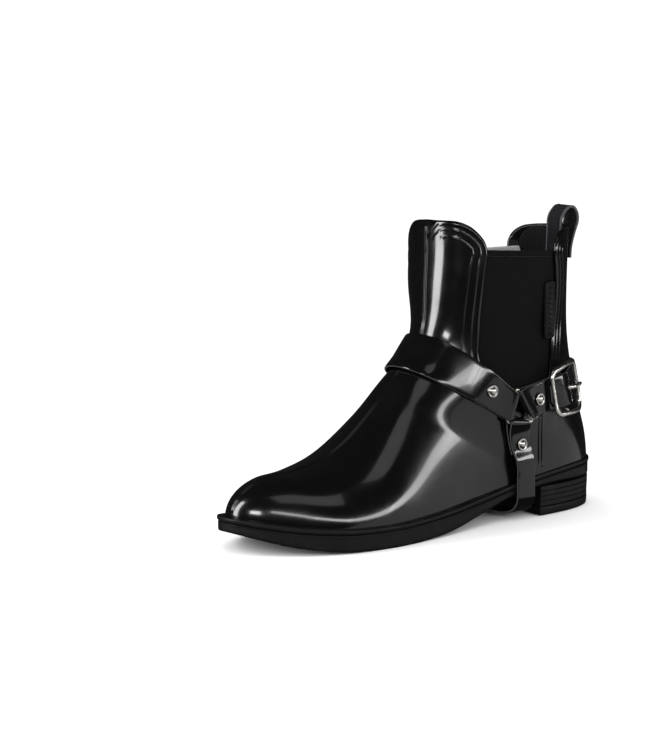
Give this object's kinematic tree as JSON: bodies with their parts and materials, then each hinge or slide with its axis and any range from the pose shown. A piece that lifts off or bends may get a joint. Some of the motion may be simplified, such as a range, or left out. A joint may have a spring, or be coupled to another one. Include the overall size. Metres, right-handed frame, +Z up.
{
  "type": "rain boot",
  "caption": "Low black gloss-rubber rain boot with riveted harness straps, ring and buckle, elastic side gores and a low heel.",
  "frame": {"origin": "centre of the bounding box in plan, on the ground plane under the heel and the tread", "axes": "+X towards the toe, +Y towards the outer side with the buckle, +Z up"},
  "size_m": [0.263, 0.088, 0.1758],
  "materials": {
    "upper_rubber": "high-gloss moulded rubber, mirror-like",
    "sole_rubber": "matte moulded rubber with fine grooves",
    "tag_rubber": "semi-matte moulded rubber",
    "lining_fabric": "matte knitted textile",
    "elastic_gore": "matte close-ribbed elastic webbing",
    "loop_webbing": "matte woven webbing with paler edges",
    "patent_strap": "high-gloss coated strap with matte cut edges",
    "nickel": "polished nickel plate",
    "shank_steel": "plain pressed steel",
    "fibreboard": "matte pressed leatherboard",
    "footbed_fabric": "textile-covered foam"
  },
  "bodies": {
    "boot": {"upper_shell": "upper_rubber", "gore_tag": "tag_rubber", "lining": "lining_fabric", "gore_lateral": "elastic_gore", "gore_medial": "elastic_gore", "welt": "sole_rubber", "outsole": "sole_rubber", "heel_block": "sole_rubber", "heel_top_lift": "sole_rubber", "bottom_filler": "fibreboard", "insole_board": "fibreboard", "steel_shank": "shank_steel", "footbed": "footbed_fabric", "instep_strap": "patent_strap", "stirrup_strap": "patent_strap", "buckle_strap": "patent_strap", "heel_strap": "patent_strap", "pull_loop_outer_leg": "loop_webbing", "pull_loop_inner_leg": "loop_webbing", "ring_lateral": "nickel", "ring_medial": "nickel", "buckle_frame": "nickel", "rivet_instep_lateral_post": "nickel", "rivet_instep_lateral_cap": "nickel", "rivet_instep_medial_post": "nickel", "rivet_instep_medial_cap": "nickel", "rivet_buckle_strap_post": "nickel", "rivet_buckle_strap_cap": "nickel", "rivet_heel_strap_post": "nickel", "rivet_heel_strap_cap": "nickel", "rivet_stirrup_lateral_post": "nickel", "rivet_stirrup_lateral_cap": "nickel", "rivet_stirrup_medial_post": "nickel", "rivet_stirrup_medial_cap": "nickel"},
    "buckle_prong": {"buckle_prong": "nickel"},
    "pull_loop": {"pull_loop": "loop_webbing"}
  },
  "joints": [
    {"name": "prong_hinge", "type": "hinge", "parent": "boot", "child": "buckle_prong", "pos_m": [-0.08979, 0.02972, 0.0725], "axis": [-0.1411, 0.0843, -0.9864], "range_deg": [0, 60]},
    {"name": "pull_loop_fold", "type": "hinge", "parent": "boot", "child": "pull_loop", "pos_m": [-0.11786, 0.0023, 0.1645], "axis": [0, 1, 0], "range_deg": [-18, 8], "stiffness_Nm_per_rad": 0.004}
  ]
}
